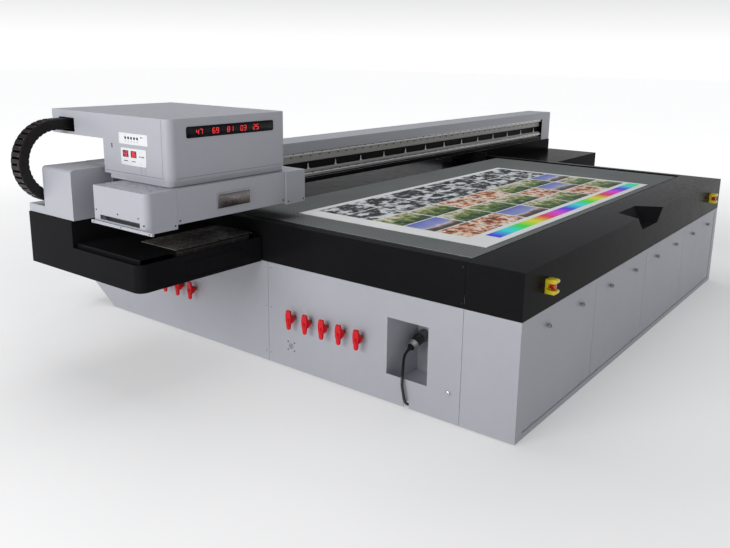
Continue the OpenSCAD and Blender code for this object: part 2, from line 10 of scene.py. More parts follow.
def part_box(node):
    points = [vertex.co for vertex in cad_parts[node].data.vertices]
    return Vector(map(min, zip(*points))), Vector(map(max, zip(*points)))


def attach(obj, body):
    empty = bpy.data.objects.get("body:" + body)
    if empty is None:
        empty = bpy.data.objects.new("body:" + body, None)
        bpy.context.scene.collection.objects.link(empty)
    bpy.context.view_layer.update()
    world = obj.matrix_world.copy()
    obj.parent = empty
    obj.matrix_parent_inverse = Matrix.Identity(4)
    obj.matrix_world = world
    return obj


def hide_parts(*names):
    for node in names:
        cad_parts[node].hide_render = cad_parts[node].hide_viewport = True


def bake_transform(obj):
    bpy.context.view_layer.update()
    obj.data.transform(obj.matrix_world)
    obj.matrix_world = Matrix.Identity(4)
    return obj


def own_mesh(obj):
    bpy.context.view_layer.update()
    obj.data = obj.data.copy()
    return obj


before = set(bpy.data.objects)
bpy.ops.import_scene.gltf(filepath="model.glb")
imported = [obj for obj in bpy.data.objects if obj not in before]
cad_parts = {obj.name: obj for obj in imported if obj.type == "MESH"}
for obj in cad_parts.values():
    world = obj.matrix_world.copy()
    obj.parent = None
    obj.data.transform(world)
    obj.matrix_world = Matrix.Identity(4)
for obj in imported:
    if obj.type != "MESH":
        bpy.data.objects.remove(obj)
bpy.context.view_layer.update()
MIDDLE = Vector((2035.0, 1624.0, 0.0))


def at(x, y, z):
    """A point of the machine in metres of the frame."""
    return (Vector((x, y, z)) - MIDDLE) / 1000.0


# ---------------------------------------------------------------- camera, floor and light
scene = bpy.context.scene
scene.view_settings.view_transform = "Standard"

# the camera's place in millimetres of the machine and its directions, at the photograph's viewing angle
CAMERA_PLACE = (-2923, -1357, 1732)
forward = Vector((0.77443679, 0.59066412, -0.22663528))
right = Vector((0.60906973, -0.79298306, 0.01455804))
up = right.cross(forward)
cam = bpy.data.cameras.new("camera")
cam.sensor_width = 36.0
cam.lens = 37.469
cam.shift_y = -0.0603
cam.clip_end = 200.0
camera = bpy.data.objects.new("camera", cam)
turn = Matrix((right, up, -forward)).transposed().to_4x4()
camera.matrix_world = Matrix.Translation(at(*CAMERA_PLACE)) @ turn
scene.collection.objects.link(camera)
scene.camera = camera


def area_light(name, place, target, size, watts):
    data = bpy.data.lights.new(name, "AREA")
    data.shape = "RECTANGLE"
    data.size, data.size_y = size
    data.energy = watts
    lamp = bpy.data.objects.new(name, data)
    lamp.location = place
    lamp.rotation_euler = (Vector(target) - Vector(place)).to_track_quat("-Z", "Y").to_euler()
    scene.collection.objects.link(lamp)


area_light("key", (-9.0, 0.5, 3.2), (0, 0, 0.5), (5, 3), 315)
area_light("top", (0.5, 1.2, 6.5), (0.5, 0.8, 0), (8, 6), 250)


def studio_world():
    """Pale round the horizon, so that the room ends white, and dimmer overhead."""
    world = bpy.data.worlds.new("studio")
    world.use_nodes = True
    tree = world.node_tree
    sky = tree.nodes.new("ShaderNodeTexCoord")
    axes = tree.nodes.new("ShaderNodeSeparateXYZ")
    ramp = tree.nodes.new("ShaderNodeValToRGB")
    ramp.color_ramp.elements[0].position = 0.02
    ramp.color_ramp.elements[0].color = (1.0, 1.0, 1.0, 1)
    ramp.color_ramp.elements[1].position = 0.22
    ramp.color_ramp.elements[1].color = (0.22, 0.225, 0.24, 1)
    tree.links.new(sky.outputs["Generated"], axes.inputs[0])
    tree.links.new(axes.outputs[2], ramp.inputs[0])
    tree.links.new(ramp.outputs[0], tree.nodes["Background"].inputs["Color"])
    tree.nodes["Background"].inputs["Strength"].default_value = 1.0
    scene.world = world


studio_world()


# ---------------------------------------------------------------- materials
class Nodes:
    """Builds one procedural material."""

    def __init__(self, name):
        self.mat = bpy.data.materials.new(name)
        self.mat.use_nodes = True
        self.tree = self.mat.node_tree
        self.shader = self.tree.nodes["Principled BSDF"]
        self.coord = self.tree.nodes.new("ShaderNodeTexCoord").outputs["Object"]

    def link(self, a, b):
        self.tree.links.new(a, b)

    def set(self, **values):
        for key, value in values.items():
            self.shader.inputs[key.replace("_", " ")].default_value = value

    def math(self, op, a, b=0.0):
        n = self.tree.nodes.new("ShaderNodeMath")
        n.operation = op
        for i, v in enumerate((a, b)):
            if isinstance(v, (int, float)):
                n.inputs[i].default_value = v
            else:
                self.link(v, n.inputs[i])
        return n.outputs[0]

    def noise(self, scale, detail=3.0, stretch=(1, 1, 1), rough=0.5, coord=None):
        m = self.tree.nodes.new("ShaderNodeMapping")
        m.inputs["Scale"].default_value = stretch
        self.link(coord or self.coord, m.inputs["Vector"])
        n = self.tree.nodes.new("ShaderNodeTexNoise")
        n.inputs["Scale"].default_value = scale
        n.inputs["Detail"].default_value = detail
        n.inputs["Roughness"].default_value = rough
        self.link(m.outputs[0], n.inputs["Vector"])
        return n.outputs["Fac"]

    def cells(self, scale):
        n = self.tree.nodes.new("ShaderNodeTexVoronoi")
        n.inputs["Scale"].default_value = scale
        self.link(self.coord, n.inputs["Vector"])
        return n.outputs["Distance"]

    def ramp(self, fac, stops):
        n = self.tree.nodes.new("ShaderNodeValToRGB")
        r = n.color_ramp
        while len(r.elements) < len(stops):
            r.elements.new(0.5)
        for e, (p, c) in zip(r.elements, stops):
            e.position = p
            e.color = (*c, 1)
        self.link(fac, n.inputs[0])
        return n.outputs[0]

    def mix(self, fac, a, b):
        n = self.tree.nodes.new("ShaderNodeMix")
        n.data_type = "RGBA"
        for i, v in ((0, fac), (6, a), (7, b)):
            if isinstance(v, (int, float)):
                n.inputs[i].default_value = v
            elif isinstance(v, tuple):
                n.inputs[i].default_value = (*v, 1)
            else:
                self.link(v, n.inputs[i])
        return n.outputs[2]

    def range(self, value, low, high, a=0.0, b=1.0):
        n = self.tree.nodes.new("ShaderNodeMapRange")
        for i, v in ((0, value), (1, low), (2, high), (3, a), (4, b)):
            if isinstance(v, (int, float)):
                n.inputs[i].default_value = v
            else:
                self.link(v, n.inputs[i])
        return n.outputs[0]

    def axes(self, coord=None):
        n = self.tree.nodes.new("ShaderNodeSeparateXYZ")
        self.link(coord or self.coord, n.inputs[0])
        return n.outputs

    def colour(self, fac, stops):
        """A ramp that colours the surface."""
        self.link(self.ramp(fac, stops), self.shader.inputs["Base Color"])

    def roughness(self, fac, smooth, rough):
        self.link(self.range(fac, 0.3, 0.7, smooth, rough), self.shader.inputs["Roughness"])

    def glow(self, colour, strength=None):
        """The piece's own light. Without a strength here, one is linked in by the caller."""
        self.shader.inputs["Emission Color"].default_value = (*colour, 1)
        if strength is not None:
            self.set(Emission_Strength=strength)

    def bump(self, height, strength, distance):
        n = self.tree.nodes.new("ShaderNodeBump")
        n.inputs["Strength"].default_value = strength
        n.inputs["Distance"].default_value = distance
        self.link(height, n.inputs["Height"])
        self.link(n.outputs[0], self.shader.inputs["Normal"])


PLAIN_SHINE = 0.5


def coated(name, colour, rough, spread=0.05, metal=0.0, coat=0.0, grain=260, bumps=0.12, stain=0.06,
           shine=PLAIN_SHINE):
    """Paint, powder coat or plastic: a little uneven in colour and gloss, with a fine orange peel."""
    n = Nodes(name)
    n.set(Metallic=metal)
    if coat:
        n.set(Coat_Weight=coat, Coat_Roughness=0.12)
    if shine != PLAIN_SHINE:
        n.set(Specular_IOR_Level=shine)
    wide = n.noise(1.7, 3)
    mid = n.noise(22, 4)
    lower = tuple(c * (1 - stain) for c in colour)
    upper = tuple(min(1, c * (1 + stain)) for c in colour)
    blend = n.math("ADD", n.math("MULTIPLY", wide, 0.7), n.math("MULTIPLY", mid, 0.3))
    n.colour(blend, [(0.35, lower), (0.65, upper)])
    n.roughness(mid, max(0.02, rough - spread), min(1, rough + spread))
    n.bump(n.noise(grain, 2), bumps, 0.0006)
    return n


def brushed(name, colour, rough, scale=12):
    """Metal with fine lines along X."""
    n = Nodes(name)
    n.set(Metallic=1.0)
    lines = n.noise(scale, 5, (1, 30, 30))
    n.colour(lines, [(0.3, tuple(c * 0.86 for c in colour)), (0.7, colour)])
    n.roughness(lines, rough - 0.07, rough + 0.08)
    n.bump(lines, 0.1, 0.0004)
    return n


GREY = (0.385, 0.39, 0.43)
BLACK = (0.0095, 0.0095, 0.0105)
panel_paint = coated("panel_paint", GREY, 0.42, stain=0.03).mat
cover_paint = coated("cover_paint", GREY, 0.36, stain=0.025).mat
# a paler copy of the grey panel paint: painted light, standing in for the lit floor of the cord recess
recess_lit_paint = coated("recess_lit_paint", (0.52, 0.53, 0.57), 0.38, stain=0.04).mat
black_paint = coated("black_paint", BLACK, 0.22, stain=0.12, bumps=0.012, shine=0.02).mat
black_gloss = coated("black_gloss", (0.006, 0.006, 0.0065), 0.20, spread=0.03, stain=0.12, bumps=0.03,
                     shine=0.008).mat
frame_paint = coated("frame_paint", (0.03, 0.032, 0.036), 0.5, bumps=0.2).mat
blue_paint = coated("pump_paint", (0.035, 0.075, 0.16), 0.45, bumps=0.35, grain=120).mat
seam_paint = coated("seam_paint", (0.13, 0.13, 0.145), 0.5).mat
cabinet_paint = coated("cabinet_paint", (0.36, 0.37, 0.39), 0.5).mat
strip_paint = coated("strip_paint", (0.42, 0.41, 0.38), 0.45).mat
plastic_black = coated("plastic_black", (0.012, 0.012, 0.013), 0.42, bumps=0.25, grain=420).mat
plastic_grey = coated("plastic_grey", (0.10, 0.105, 0.115), 0.5, bumps=0.3, grain=300).mat
chain_plastic = coated("chain_plastic", (0.0085, 0.008, 0.0078), 0.5, shine=0.25, bumps=0.2, grain=420).mat
rubber_black = coated("rubber_black", (0.011, 0.011, 0.012), 0.38, bumps=0.3, grain=700).mat
red_plastic = coated("red_plastic", (0.62, 0.012, 0.008), 0.25, coat=0.4, stain=0.1).mat
red_handle = coated("red_handle", (0.60, 0.006, 0.014), 0.40, coat=0.1, stain=0.14, bumps=0.2, shine=0.2).mat
yellow_plastic = coated("yellow_plastic", (0.82, 0.66, 0.02), 0.3, coat=0.2, stain=0.08).mat
white_plastic = coated("white_plastic", (0.72, 0.73, 0.75), 0.3, stain=0.02).mat
tank_plastic = coated("tank_plastic", (0.62, 0.60, 0.52), 0.4).mat
steel = brushed("steel", (0.60, 0.60, 0.61), 0.32).mat
steel_dark = brushed("steel_dark", (0.20, 0.20, 0.21), 0.36).mat
alu = brushed("alu", (0.62, 0.62, 0.64), 0.4).mat
beam_finish = coated("beam_finish", (0.010, 0.0095, 0.009), 0.55, shine=0.06).mat
brass = coated("brass", (0.55, 0.38, 0.13), 0.35, metal=1.0, bumps=0.3, grain=150).mat
screw_metal = brushed("screw_metal", (0.45, 0.45, 0.47), 0.3, scale=60).mat
dark_screw = coated("dark_screw", (0.02, 0.02, 0.022), 0.35, metal=0.6).mat


def table_surface():
    """Dark anodised plate with a grid of fine suction holes, painted near black as painted shade inside them."""
    n = Nodes("table_surface")
    n.set(Specular_IOR_Level=0.02)
    x, y, _ = n.axes()
    pitch = 0.030
    dots = []
    for axis in (x, y):
        cell = n.math("SUBTRACT", n.math("FRACT", n.math("DIVIDE", axis, pitch)), 0.5)
        dots.append(n.math("MULTIPLY", cell, cell))
    gap = n.math("SQRT", n.math("ADD", dots[0], dots[1]))
    hole = n.range(gap, 0.075, 0.10, 0.0, 1.0)
    patch = n.noise(2.2, 4)
    base = n.ramp(patch, [(0.3, (0.135, 0.145, 0.142)), (0.7, (0.175, 0.187, 0.182))])
    # the holes are painted near black: painted shade inside them, where the plate has no real depth
    n.link(n.mix(hole, (0.004, 0.004, 0.004), base), n.shader.inputs["Base Color"])
    n.roughness(patch, 0.46, 0.56)
    n.bump(hole, 0.4, 0.001)
    return n.mat


def flush_plate():
    """Glossy brown-grey plate with faint mottling."""
    n = Nodes("flush_plate")
    n.set(Metallic=0.25)
    blotch = n.noise(14, 6, rough=0.65)
    n.colour(blotch, [(0.3, (0.13, 0.118, 0.11)), (0.7, (0.25, 0.23, 0.215))])
    n.roughness(blotch, 0.16, 0.34)
    n.bump(n.noise(180, 3), 0.12, 0.0005)
    return n.mat


def dimpled_paint():
    """Grey paint on sheet with pressed dimples on its upper faces only; the dimples are also painted darker, as
    painted shade in the hollows.
    """
    n = coated("dimpled_paint", GREY, 0.34, stain=0.02)
    geo = n.tree.nodes.new("ShaderNodeNewGeometry")
    top = n.range(n.axes(geo.outputs["Normal"])[2], 0.9, 0.98)
    hollow = n.math("MULTIPLY", n.range(n.cells(30), 0.16, 0.36, 1.0, 0.0), top)
    # painted shade: the colour is darker inside each dimple
    n.link(n.mix(n.math("MULTIPLY", hollow, 0.3), GREY, (0.20, 0.205, 0.23)), n.shader.inputs["Base Color"])
    n.bump(n.math("SUBTRACT", 1.0, hollow), 0.8, 0.006)
    return n.mat


def printed_sheet(low, high):
    """White board with a tiled abstract print and a colour strip along its front edge."""
    n = Nodes("printed_sheet")
    n.set(Roughness=0.4, Specular_IOR_Level=0.25)
    x, y, _ = n.axes()

    def within(value, start, end):
        return n.math("MULTIPLY", n.math("GREATER_THAN", value, start), n.math("LESS_THAN", value, end))

    def edge_gap(value):
        return n.math("MINIMUM", value, n.math("SUBTRACT", 1.0, value))

    # u runs 0..1 from the left edge, v from the front edge
    u = n.range(x, low.x, high.x)
    v = n.range(y, low.y, high.y)
    cols, rows = 7, 5
    left, right_, front, rear = 0.045, 0.985, 0.13, 0.965
    gu = n.math("MULTIPLY", n.range(u, left, right_), cols)
    gv = n.math("MULTIPLY", n.range(v, front, rear), rows)
    iu, iv = n.math("FLOOR", gu), n.math("FLOOR", gv)
    fu, fv = n.math("FRACT", gu), n.math("FRACT", gv)
    cell = n.tree.nodes.new("ShaderNodeCombineXYZ")
    n.link(iu, cell.inputs[0])
    n.link(iv, cell.inputs[1])
    pick = n.tree.nodes.new("ShaderNodeTexWhiteNoise")
    pick.noise_dimensions = "2D"
    n.link(cell.outputs[0], pick.inputs["Vector"])
    # each tile looks at its own stretch of noise
    shift = n.tree.nodes.new("ShaderNodeVectorMath")
    shift.operation = "MULTIPLY_ADD"
    n.link(cell.outputs[0], shift.inputs[0])
    shift.inputs[1].default_value = (7.3, 3.1, 0)
    n.link(n.coord, shift.inputs[2])
    swirl = n.noise(7.5, 6, (1.0, 1.5, 1), 0.6, shift.outputs[0])
    fine = n.noise(24, 5, (1, 1, 1), 0.62, shift.outputs[0])
    hills = n.math("ADD", fv, n.math("MULTIPLY", n.math("SUBTRACT", swirl, 0.5), 0.7))
    ink = n.ramp(n.math("ADD", n.math("MULTIPLY", swirl, 0.8), n.math("MULTIPLY", fine, 0.2)),
                 [(0.40, (0.30, 0.32, 0.33)), (0.43, (0.006, 0.006, 0.008)), (0.505, (0.02, 0.022, 0.024)),
                  (0.53, (0.40, 0.43, 0.44)), (0.57, (0.70, 0.73, 0.74))])
    coast = n.ramp(hills, [(0.16, (0.05, 0.03, 0.03)), (0.30, (0.30, 0.22, 0.15)), (0.38, (0.62, 0.58, 0.60)),
                           (0.46, (0.26, 0.30, 0.62)), (0.95, (0.12, 0.15, 0.50))])
    woods = n.ramp(n.math("ADD", n.math("MULTIPLY", fine, 0.75), n.math("MULTIPLY", hills, 0.25)),
                   [(0.38, (0.008, 0.02, 0.008)), (0.47, (0.04, 0.15, 0.012)), (0.54, (0.26, 0.28, 0.06)),
                    (0.62, (0.66, 0.60, 0.50))])
    market = n.ramp(fine, [(0.38, (0.05, 0.012, 0.01)), (0.45, (0.45, 0.10, 0.03)), (0.51, (0.72, 0.40, 0.20)),
                           (0.58, (0.78, 0.72, 0.66))])
    choose = pick.outputs["Value"]
    # rear rows are the ink pictures, the rows in front of them the coloured ones
    picture = n.mix(n.math("GREATER_THAN", choose, 0.36), coast, woods)
    picture = n.mix(n.math("GREATER_THAN", choose, 0.72), picture, market)
    picture = n.mix(n.math("GREATER_THAN", n.math("ADD", iv, choose), 3.1), picture, ink)
    # thin white joints between tiles
    inside = n.math("GREATER_THAN", n.math("MINIMUM", edge_gap(fu), edge_gap(fv)), 0.022)
    frame_ = n.math("MULTIPLY", within(u, left, right_), within(v, front, rear))
    paper = n.ramp(n.noise(3, 2), [(0.3, (0.76, 0.78, 0.76)), (0.7, (0.82, 0.84, 0.82))])
    print_ = n.mix(n.math("MULTIPLY", inside, frame_), paper, picture)
    band = n.tree.nodes.new("ShaderNodeCombineColor")
    band.mode = "HSV"
    n.link(n.math("FRACT", n.math("ADD", n.math("MULTIPLY", u, -2.6), 2.93)), band.inputs[0])
    band.inputs[1].default_value = 0.98
    band.inputs[2].default_value = 0.80
    strip = n.math("MULTIPLY", within(v, 0.035, 0.105), within(u, 0.09, 0.985))
    n.link(n.mix(strip, print_, band.outputs[0]), n.shader.inputs["Base Color"])
    return n.mat


# own light of the floor near the machine and away from it, and the radii in metres where each begins
FLOOR_NEAR, FLOOR_FAR = 0.33, 0.82
NEAR_RADIUS, FAR_RADIUS = 3.0, 8.0


def floor_material():
    """A pale lit floor, a little dimmer close to the machine."""
    n = Nodes("floor")
    n.colour(n.noise(0.6, 2), [(0.3, (0.60, 0.60, 0.60)), (0.7, (0.64, 0.64, 0.64))])
    x, y, _ = n.axes()
    away = n.math("SQRT", n.math("ADD", n.math("MULTIPLY", x, x), n.math("MULTIPLY", y, y)))
    n.link(n.range(away, NEAR_RADIUS, FAR_RADIUS, FLOOR_NEAR, FLOOR_FAR), n.shader.inputs["Emission Strength"])
    n.set(Roughness=0.85, Specular_IOR_Level=0.1)
    n.glow((1, 1, 1))
    return n.mat


def floor_plane():
    mesh = bpy.data.meshes.new("floor")
    r = 60.0
    mesh.from_pydata([(-r, -r, 0), (r, -r, 0), (r, r, 0), (-r, r, 0)], [], [(0, 1, 2, 3)])
    floor = bpy.data.objects.new("floor", mesh)
    mesh.materials.append(floor_material())
    floor.location.z = -0.001
    scene.collection.objects.link(floor)


floor_plane()


# ---------------------------------------------------------------- mesh tools (millimetres of the machine)
class Shape:
    """One piece under construction."""

    def __init__(self):
        self.bm = bmesh.new()

    def block(self, a, b, r):
        """A box from corner a to corner b, with its edges cut by r."""
        a, b = Vector(a), Vector(b)
        size = b - a
        m = Matrix.Translation((a + b) / 2) @ Matrix.Diagonal((*size, 1))
        new = bmesh.ops.create_cube(self.bm, size=1.0, matrix=m)["verts"]
        edges = list({e for v in new for e in v.link_edges})
        bmesh.ops.bevel(self.bm, geom=edges, offset=min(r, min(size) * 0.49), segments=1, affect="EDGES",
                        profile=0.5)

    def ring(self, middle, side, other, r, sides):
        """Points round a circle in the plane of side and other."""
        return [self.bm.verts.new(middle + r * (math.cos(t) * side + math.sin(t) * other))
                for t in (2 * math.pi * k / sides for k in range(sides))]

    def lathe(self, start, axis, profile, sides, hollow=False):
        """Turns (radius, height) pairs about axis, from the point start. A hollow one is a ring whose
        profile runs round to its beginning."""
        axis = Vector(axis).normalized()
        side = axis.orthogonal().normalized()
        other = axis.cross(side)
        start = Vector(start)
        rings = []
        for r, h in profile:
            if r <= 0:
                rings.append([self.bm.verts.new(start + axis * h)])
                continue
            rings.append(self.ring(start + axis * h, side, other, r, sides))
        for lower, upper_ in zip(rings, rings[1:] + rings[:1] if hollow else rings[1:]):
            for k in range(sides):
                j = (k + 1) % sides
                if len(lower) == 1:
                    self.bm.faces.new((lower[0], upper_[k], upper_[j]))
                elif len(upper_) == 1:
                    self.bm.faces.new((lower[k], upper_[0], lower[j]))
                else:
                    self.bm.faces.new((lower[k], upper_[k], upper_[j], lower[j]))
        for ring, flip in ((rings[0], False), (rings[-1], True)):
            if len(ring) > 1 and not hollow:
                self.bm.faces.new(ring[::-1] if flip else ring)

    def prism(self, outline, origin, u, v, depth, r, seg):
        """A flat outline in the plane of u and v, thickened along u x v by depth and rounded by r."""
        u, v, origin = Vector(u), Vector(v), Vector(origin)
        n = u.cross(v).normalized() * depth
        low = [self.bm.verts.new(origin + u * p + v * q) for p, q in outline]
        high = [self.bm.verts.new(w.co + n) for w in low]
        faces = [self.bm.faces.new(low[::-1]), self.bm.faces.new(high)]
        for k in range(len(low)):
            j = (k + 1) % len(low)
            faces.append(self.bm.faces.new((low[k], low[j], high[j], high[k])))
        edges = list({e for f in faces for e in f.edges})
        bmesh.ops.bevel(self.bm, geom=edges, offset=r, segments=seg, affect="EDGES", profile=0.5)

    def finish(self, name, material, body, slot, replaces=(), smooth=32):
        bmesh.ops.recalc_face_normals(self.bm, faces=self.bm.faces)
        for w in self.bm.verts:
            w.co = (w.co - MIDDLE) / 1000.0
        mesh = bpy.data.meshes.new(name)
        self.bm.to_mesh(mesh)
        self.bm.free()
        mesh.shade_smooth()
        mesh.set_sharp_from_angle(angle=math.radians(smooth))
        mesh.materials.append(material)
        obj = bpy.data.objects.new(name, mesh)
        scene.collection.objects.link(obj)
        if body:
            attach(obj, body)
        if replaces:
            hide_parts(*replaces)
        return obj


def rounded(w, h, r, n=5):
    """Outline of a rectangle with round corners, centred on 0, 0."""
    out = []
    x, y = w / 2 - r, h / 2 - r
    for cx, cy, a in ((x, y, 0), (-x, y, 90), (-x, -y, 180), (x, -y, 270)):
        for k in range(n + 1):
            t = math.radians(a + 90 * k / n)
            out.append((cx + r * math.cos(t), cy + r * math.sin(t)))
    return out


# ---------------------------------------------------------------- CAD pieces that stay, with softened edges
def dress(node, material, edge):
    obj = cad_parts[node]
    for s in obj.material_slots:
        s.material = material
    b = obj.modifiers.new("edge", "BEVEL")
    b.width = edge
    b.segments = 2
    b.limit_method = "ANGLE"
    b.angle_limit = math.radians(50)
    b.harden_normals = True


low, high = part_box("printed_board")
board_print = printed_sheet(Vector(low), Vector(high))
table_mat = table_surface()
plate_mat = flush_plate()
dimple_mat = dimpled_paint()
for node, material, edge in (
    ("base_frame", frame_paint, 0.003), ("levelling_feet", steel_dark, 0.001),
    ("front_surround", panel_paint, 0.0015), ("left_side_panels", panel_paint, 0.001),
    ("right_side_panels", panel_paint, 0.001), ("rear_panel", panel_paint, 0.001),
    ("cord_recess", recess_lit_paint, 0.001), ("valve_manifold", brass, 0.001), ("table_top", table_mat, 0.002),
    ("table_plenum", alu, 0.001), ("vacuum_pumps", blue_paint, 0.004), ("front_cover", black_paint, 0.004),
    ("side_bands", black_paint, 0.0012), ("rear_deck", black_paint, 0.001), ("y_rails", steel, 0.001),
    ("electric_cabinet", cabinet_paint, 0.001), ("printed_board", board_print, 0.0006),
    ("bridge_beam", beam_finish, 0.002), ("bridge_cover", cover_paint, 0.0012), ("end_tower", cover_paint, 0.003),
    ("left_tray", black_paint, 0.003), ("right_tray", black_gloss, 0.0018), ("bridge_legs", beam_finish, 0.001),
    ("chain_trough", cover_paint, 0.001), ("service_flap", black_paint, 0.001),
    ("capping_lift", plate_mat, 0.001), ("carriage_plate", alu, 0.001), ("lamp_housings", dimple_mat, 0.0014),
    ("head_housing", cover_paint, 0.0014), ("upper_cover", cover_paint, 0.002), ("uv_lamps", steel_dark, 0.001),
    ("ink_tanks", tank_plastic, 0.006), ("print_heads", steel_dark, 0.002),
    ("front_door_1", panel_paint, 0.0014), ("front_door_2", panel_paint, 0.0014),
    ("front_door_3", panel_paint, 0.0014), ("front_door_4", panel_paint, 0.0014),
    ("power_inlet", plastic_grey, 0.001),
):
    dress(node, material, edge)


# ---------------------------------------------------------------- cable chain
CHAIN_Y0, CHAIN_Y1 = 2398.0, 2486.0
CHAIN_LOW, CHAIN_TOP, CHAIN_H = 922.0, 1368.0, 57.0
CHAIN_R = (CHAIN_TOP - CHAIN_LOW) / 2
CHAIN_X, CHAIN_Z = CHAIN_R - 930.0, CHAIN_LOW + CHAIN_R
# the two side plates in Y, and the two rows of crossbars as depths under the outer side
CHAIN_SIDES = ((CHAIN_Y0, CHAIN_Y0 + 9), (CHAIN_Y1 - 9, CHAIN_Y1))
CHAIN_BARS = ((0, 8), (CHAIN_H - 8, CHAIN_H))
BEND_LINKS, STRAIGHT_PITCH = 20, 34.5


def chain_link(shape, frames, detail=True):
    """One link between two cross sections. frames gives, for each end, the point on the outer side and
    the unit vector towards the inner side."""
    (p0, n0), (p1, n1) = frames
    h = CHAIN_H
    along = p1 - p0
    # side plates, and a crossbar on the outer and the inner side with a gap before the next link
    for plate in CHAIN_SIDES:
        hexa(shape, [q + Vector((0, y, 0)) for y in plate for q in
                     (p0 + n0 * 3, p0 + n0 * (h - 3), p1 + n1 * (h - 3), p1 + n1 * 3)], 1.2)
    a0, a1 = p0 + along * 0.16, p0 + along * 0.84
    m0, m1 = n0.lerp(n1, 0.16), n0.lerp(n1, 0.84)
    for d0, d1 in CHAIN_BARS:
        hexa(shape, [q + Vector((0, y, 0)) for y in (CHAIN_Y0 + 3, CHAIN_Y1 - 3) for q in
                     (a0 + m0 * d0, a0 + m0 * d1, a1 + m1 * d1, a1 + m1 * d0)], 1.0)
    if detail:
        c = (p0 + p1) / 2 + (n0 + n1) / 2 * h * 0.5
        for y, s in ((CHAIN_Y0 + 0.5, -1), (CHAIN_Y1 - 0.5, 1)):
            shape.lathe(c + along * 0.5 + Vector((0, y, 0)), (0, s, 0),
                        [(13, -1.5), (13, 0), (11.5, 0.45), (5, 0.45), (4, -0.5), (0, -0.5)], 14)


def hexa(shape, pts, r):
    """A six-sided body from two quads of four points each."""
    v = [shape.bm.verts.new(p) for p in pts]
    faces = [shape.bm.faces.new([v[i] for i in q]) for q in
             ((0, 1, 2, 3), (7, 6, 5, 4), (0, 4, 5, 1), (1, 5, 6, 2), (2, 6, 7, 3), (3, 7, 4, 0))]
    if r:
        edges = list({e for f in faces for e in f.edges})
        bmesh.ops.bevel(shape.bm, geom=edges, offset=r, segments=1, affect="EDGES")


def loop_side(turned):
    """The outward direction on the half loop, turned by so many degrees from its top."""
    a = math.radians(90 + turned)
    return Vector((math.cos(a), 0, math.sin(a)))


def chain_bend():
    """The half loop, and two links of the upper strand beside it."""
    shape = Shape()
    for k in range(BEND_LINKS):
        ends = []
        for j in (k, k + 1):
            out = loop_side(180 * j / BEND_LINKS)
            ends.append((Vector((CHAIN_X, 0, CHAIN_Z)) + out * CHAIN_R, -out))
        chain_link(shape, ends)
    for k in range(2):
        ends = [(Vector((CHAIN_X + STRAIGHT_PITCH * j, 0, CHAIN_TOP)), Vector((0, 0, -1))) for j in (k + 1, k)]
        chain_link(shape, ends, False)
    shape.finish("chain_links_bend", chain_plastic, "chain_loop", "chain_black", ["chain_bend"])


def smooth_share(w):
    """The t at which t * t * (3 - 2 * t) is w."""
    lo_, hi_ = 0.0, 1.0
    for _ in range(40):
        mid = (lo_ + hi_) / 2
        if mid * mid * (3 - 2 * mid) < w:
            lo_ = mid
        else:
            hi_ = mid
    return (lo_ + hi_) / 2


def chain_upper():
    """The strand that pays out between the half loop and the carriage. At rest its links stand folded
    together inside the arm of the cover, and they spread evenly as it is drawn out."""
    shape = Shape()
    start, end, links = -636.5, -488.0, 50
    down = Vector((0, 0, -1))
    for k in range(links):
        x0, x1 = (start + (end - start) * smooth_share((k + s) / links) for s in (0.0, 1.0))
        p0, p1 = Vector((x0, 0, CHAIN_TOP)), Vector((x1, 0, CHAIN_TOP))
        for plate in CHAIN_SIDES:
            hexa(shape, [q + Vector((0, y, 0)) for y in plate for q in
                         (p0 + down * 3, p0 + down * (CHAIN_H - 3),
                          p1 + down * (CHAIN_H - 3), p1 + down * 3)], 0)
        xa, xb = (start + (end - start) * smooth_share((k + s) / links) for s in (0.16, 0.84))
        for d0, d1 in CHAIN_BARS:
            hexa(shape, [Vector((x, y, CHAIN_TOP - d)) for y in (CHAIN_Y0 + 3, CHAIN_Y1 - 3) for x, d in
                         ((xa, d0), (xa, d1), (xb, d1), (xb, d0))], 0)
    obj = shape.finish("chain_links_upper", chain_plastic, None, "chain_black", ["chain_upper"])
    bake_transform(obj)


def chain_lower():
    """The strand in the trough, which shortens as the carriage runs to the right."""
    shape = Shape()
    x0, x1 = CHAIN_X + 1.0, 2060.0
    links = 60
    pitch = (x1 - x0) / links
    for k in range(links):
        chain_link(shape, [(Vector((x0 + pitch * j, 0, CHAIN_LOW)), Vector((0, 0, 1))) for j in (k, k + 1)])
    obj = shape.finish("chain_links_lower", chain_plastic, "bridge", "chain_black", ["chain_lower"])
    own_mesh(obj)


chain_bend()
chain_upper()
chain_lower()

# small red studs along the outside of the half loop
chain_marks = Shape()
for k in range(15):
    out = loop_side(12 * (k + 0.5))
    chain_marks.lathe(Vector((CHAIN_X, CHAIN_Y0 + 14, CHAIN_Z)) + out * (CHAIN_R - 3), out,
                      [(4.5, 0), (4.5, 2.6), (3.4, 2.9), (0, 2.9)], 12)
mark_paint = coated("chain_mark_paint", (0.25, 0.02, 0.015), 0.4).mat
chain_marks.finish("chain_marks", mark_paint, "chain_loop", "chain_black")


# ---------------------------------------------------------------- mains cord
CORD_R = 7.5
ROUTE = [(145, 690, 244), (116, 686, 235), (82, 673, 223), (48, 653, 207), (16, 634, 187), (-8, 620, 160),
         (-18, 613, 128), (-19, 607, 100), (-19, 601, 73), (-17, 599, 56), (-10, 598, 41), (0, 597, 28),
         (13, 596, 18), (28, 595, 11), (45, 595, 9), (80, 595, 9), (118, 595, 9), (150, 595, 9)]
COIL = Vector((180, 480, 0))
LEAD_OUT = [(240, 583, 17), (272, 574, 12), (310, 563, 15), (350, 552, 24), (368, 548, 29), (380, 547, 30)]


